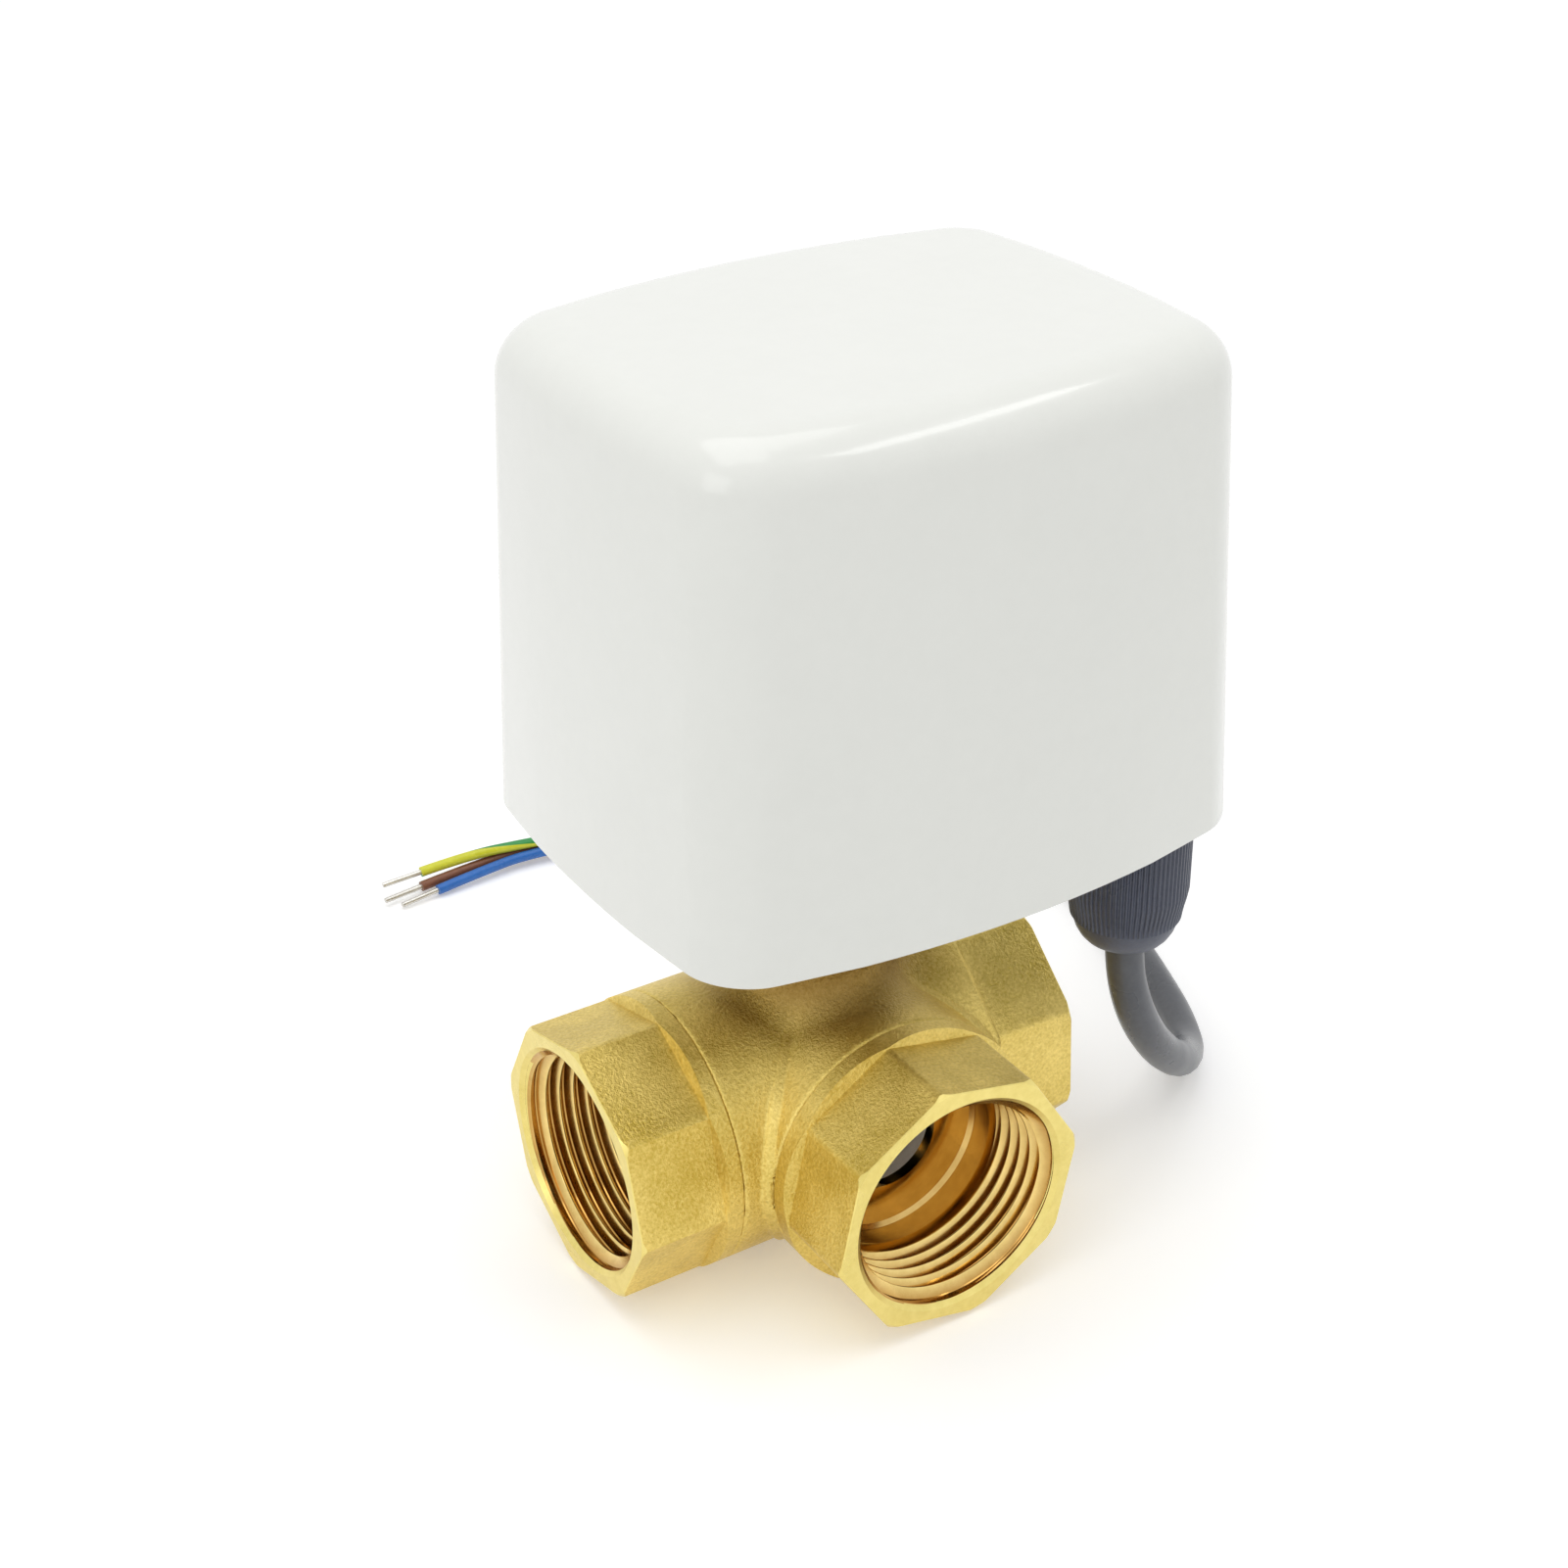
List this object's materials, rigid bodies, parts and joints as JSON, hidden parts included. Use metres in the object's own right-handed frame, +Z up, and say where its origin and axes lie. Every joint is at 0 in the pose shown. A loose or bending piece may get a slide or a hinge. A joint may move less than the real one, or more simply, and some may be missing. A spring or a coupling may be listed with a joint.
{
  "type": "motorized three-way ball valve",
  "caption": "Brass three-way ball valve with threaded ports, a white bowed actuator cover on its stem and a grey three-core cable with bare ends.",
  "frame": {"origin": "the point where the axes of the three ports and of the stem cross, at the ball's centre", "axes": "+Z up the stem towards the actuator, -X out of the left port, -Y out of the front port, +X out of the right port"},
  "size_m": [0.1299, 0.1526, 0.1374],
  "materials": {
    "brass": "sandblasted forged brass with bright turned ends",
    "chrome": "polished chrome plate",
    "stem_brass": "turned brass",
    "seat_plastic": "white sealing plastic",
    "rubber": "black rubber",
    "white_plastic": "glossy white moulded plastic",
    "dark_plastic": "dark blue-grey moulded plastic",
    "screw_steel": "zinc plated steel",
    "shaft_steel": "turned steel",
    "frame_steel": "plated sheet steel",
    "gear_plastic": "natural moulded nylon",
    "motor_steel": "drawn sheet steel",
    "coil_copper": "enamelled copper wire, wound",
    "switch_plastic": "black moulded plastic",
    "board_green": "green circuit board",
    "terminal_plastic": "green moulded plastic",
    "cable_grey": "grey soft sheath",
    "earth_yellow": "yellow and green insulation",
    "core_brown": "brown insulation",
    "core_blue": "blue insulation",
    "tinned_copper": "bare tinned strands"
  },
  "bodies": {
    "valve": {"valve_body": "brass", "left_end_connector": "brass", "front_end_connector": "brass", "left_ball_seat": "seat_plastic", "right_ball_seat": "seat_plastic", "front_ball_seat": "seat_plastic", "left_connector_seal": "seat_plastic", "front_connector_seal": "seat_plastic", "stem_thrust_washer": "seat_plastic", "cover_gasket": "rubber", "gland_sleeve": "rubber", "actuator_cover": "white_plastic", "base_plate": "white_plastic", "gland_body": "dark_plastic", "gland_dome_nut": "dark_plastic", "cover_screws": "screw_steel", "base_plate_screws": "screw_steel", "column_screws": "screw_steel", "motor_screws": "screw_steel", "limit_switch_screws": "screw_steel", "terminal_screws": "screw_steel", "idler_axle": "shaft_steel", "lower_columns": "shaft_steel", "upper_columns": "shaft_steel", "lower_gear_plate": "frame_steel", "upper_gear_plate": "frame_steel", "motor": "motor_steel", "motor_coil": "coil_copper", "closed_limit_switch": "switch_plastic", "open_limit_switch": "switch_plastic", "control_relay": "switch_plastic", "control_board": "board_green", "terminal_block": "terminal_plastic", "power_cable": "cable_grey", "cable_inner_end": "cable_grey", "earth_conductor": "earth_yellow", "brown_conductor": "core_brown", "blue_conductor": "core_blue", "conductor_tips": "tinned_copper"},
    "ball_drive": {"valve_ball": "chrome", "valve_stem": "stem_brass", "stem_o_rings": "rubber", "output_shaft": "shaft_steel", "output_gear": "gear_plastic", "limit_cam": "gear_plastic"},
    "idler": {"idler_gear": "gear_plastic"},
    "motor_shaft": {"motor_pinion": "shaft_steel"},
    "closed_lever": {"closed_switch_lever": "shaft_steel"},
    "open_lever": {"open_switch_lever": "shaft_steel"}
  },
  "joints": [
    {"name": "ball_turn", "type": "hinge", "parent": "valve", "child": "ball_drive", "pos_m": [0, 0, 0], "axis": [0, 0, 1], "range_deg": [0, 90]},
    {"name": "idler_turn", "type": "hinge", "parent": "valve", "child": "idler", "pos_m": [0.02511, 0.00673, 0], "axis": [0, 0, 1], "range_deg": [-303, 0]},
    {"name": "motor_turn", "type": "hinge", "parent": "valve", "child": "motor_shaft", "pos_m": [0.01188, -0.00605, 0], "axis": [0, 0, 1], "range_deg": [0, 1090.8]},
    {"name": "closed_lever_turn", "type": "hinge", "parent": "valve", "child": "closed_lever", "pos_m": [0.01135, -0.0085, 0], "axis": [0, 0, 1], "range_deg": [0, 8.08]},
    {"name": "open_lever_turn", "type": "hinge", "parent": "valve", "child": "open_lever", "pos_m": [-0.01135, 0.0085, 0], "axis": [0, 0, 1], "range_deg": [-8.08, 0]}
  ],
  "couplings": [
    {"joint": "idler_turn", "follows": "ball_turn", "ratio": -3.3333},
    {"joint": "motor_turn", "follows": "ball_turn", "ratio": 12},
    {"joint": "closed_lever_turn", "follows": "ball_turn", "ratio": 0.088889},
    {"joint": "open_lever_turn", "follows": "ball_turn", "ratio": -0.088889}
  ]
}
